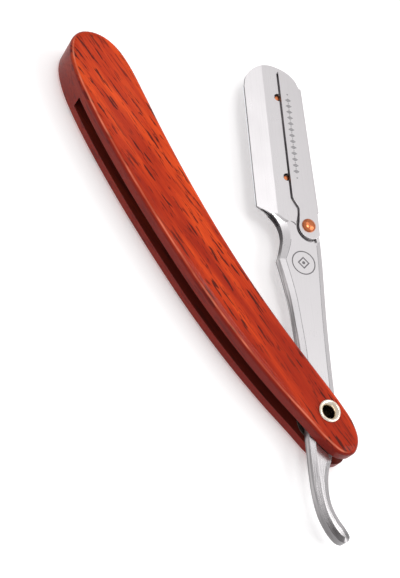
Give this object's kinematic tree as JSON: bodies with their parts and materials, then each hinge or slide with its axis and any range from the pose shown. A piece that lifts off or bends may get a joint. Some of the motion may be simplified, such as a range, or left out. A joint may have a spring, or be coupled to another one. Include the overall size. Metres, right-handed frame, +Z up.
{
  "type": "straight razor",
  "caption": "Folding straight razor: slotted wooden scales on a hollow rivet, a two-leaf steel arm that holds half of a double-edge blade, and a swing clip that locks the leaves.",
  "frame": {"origin": "on the surface the razor lies on, under the middle of its box in the half-open pose", "axes": "+X along the handle from its closed end to its pivot end, +Z up out of the front scale, +Y to the side the arm opens from"},
  "size_m": [0.1442, 0.0727, 0.0126],
  "materials": {
    "wood": "glossy lacquer over reddish-orange rosewood with short dark pores",
    "steel": "satin, with polished bevels",
    "clip_steel": "satin",
    "blade_steel": "polished strip",
    "nickel": "polished, slightly warm",
    "copper": "polished copper"
  },
  "bodies": {
    "handle": {"front_scale": "wood", "back_scale": "wood", "scale_spacer": "wood", "pivot_eyelet": "nickel", "eyelet_back_ring": "nickel", "front_pivot_washer": "nickel", "back_pivot_washer": "nickel"},
    "arm": {"front_leaf": "steel", "back_leaf": "steel", "clip_rivet": "copper", "clip_rivet_burr": "copper", "razor_blade": "blade_steel", "upper_blade_pin": "copper", "lower_blade_pin": "copper"},
    "clip": {"spine_clip": "clip_steel"}
  },
  "joints": [
    {"name": "arm_pivot", "type": "hinge", "parent": "handle", "child": "arm", "pos_m": [0.0441, -0.0204, 0.006], "axis": [0, 0, 1], "range_deg": [-300, 28.5]},
    {"name": "clip_swing", "type": "hinge", "parent": "arm", "child": "clip", "pos_m": [0.00051, 0.01076, 0.006], "axis": [0, 0, -1], "range_deg": [0, 70]}
  ]
}
